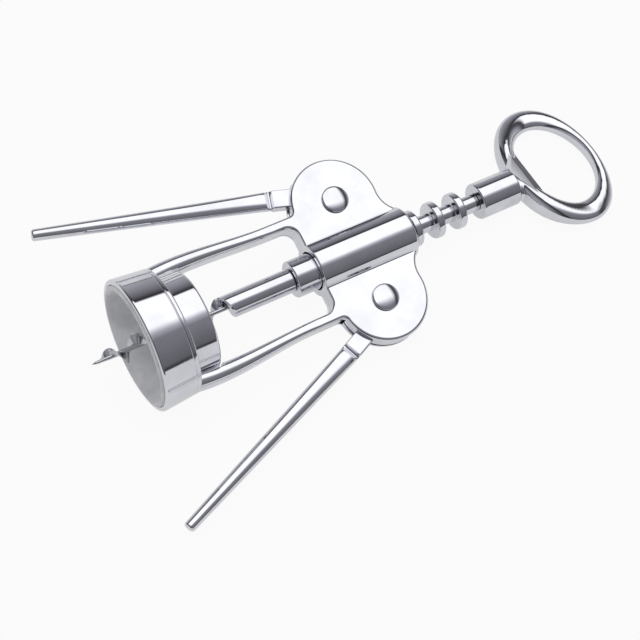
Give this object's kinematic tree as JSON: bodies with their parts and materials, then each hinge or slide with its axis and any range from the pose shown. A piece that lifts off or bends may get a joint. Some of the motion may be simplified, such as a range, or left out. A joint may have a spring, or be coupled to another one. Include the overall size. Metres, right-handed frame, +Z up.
{
  "type": "wing corkscrew",
  "caption": "Chromed two-lever wing corkscrew with an open frame, a ringed rack, a screw worm and an oval cap-lifter loop, lying on its back.",
  "frame": {"origin": "centre of the bounding box on the table that the opener lies on, z = 0 at its lowest points", "axes": "+X from the bell to the handle, +Y to the left lever's side, +Z up off the table; the tool's own axis is tipped 6.3 degrees down to the handle and its flat front is rolled 16.6 degrees"},
  "size_m": [0.1744, 0.0916, 0.0399],
  "materials": {
    "chrome_casting": "bright chrome plate on a smooth zinc die casting",
    "chrome_pressing": "bright chrome plate on pressed steel",
    "chrome_turning": "bright chrome plate on turned steel",
    "worm_steel": "bright plated hardened steel",
    "liner_plastic": "frosted pale grey moulded plastic"
  },
  "bodies": {
    "frame": {"frame_casting": "chrome_casting", "bottle_cup": "chrome_pressing", "cup_liner": "liner_plastic", "left_pivot_rivet": "chrome_turning", "right_pivot_rivet": "chrome_turning"},
    "rack": {"annular_rack": "chrome_turning"},
    "screw": {"spindle": "chrome_turning", "worm": "worm_steel", "handle_ferrule": "chrome_turning", "handle_loop": "chrome_casting"},
    "left_arm": {"left_lever": "chrome_casting"},
    "right_arm": {"right_lever": "chrome_casting"}
  },
  "joints": [
    {"name": "rack_slide", "type": "slide", "parent": "frame", "child": "rack", "axis": [0.994, 0, -0.1097], "range_m": [-0.025, 0.0022]},
    {"name": "screw_turn", "type": "hinge", "parent": "rack", "child": "screw", "pos_m": [0.02529, 0.00538, 0.0091], "axis": [0.994, 0, -0.1097], "continuous": true},
    {"name": "left_lever_pivot", "type": "hinge", "parent": "frame", "child": "left_arm", "pos_m": [-0.00114, 0.02109, 0.01673], "axis": [0.1052, -0.2857, 0.9525], "range_deg": [-116.65, 10.35]},
    {"name": "right_lever_pivot", "type": "hinge", "parent": "frame", "child": "right_arm", "pos_m": [-0.00216, -0.01034, 0.00741], "axis": [0.1052, -0.2857, 0.9525], "range_deg": [-10.35, 116.65]}
  ],
  "couplings": [
    {"joint": "left_lever_pivot", "follows": "rack_slide", "rad_per_m": 81.301},
    {"joint": "right_lever_pivot", "follows": "rack_slide", "rad_per_m": -81.301}
  ]
}
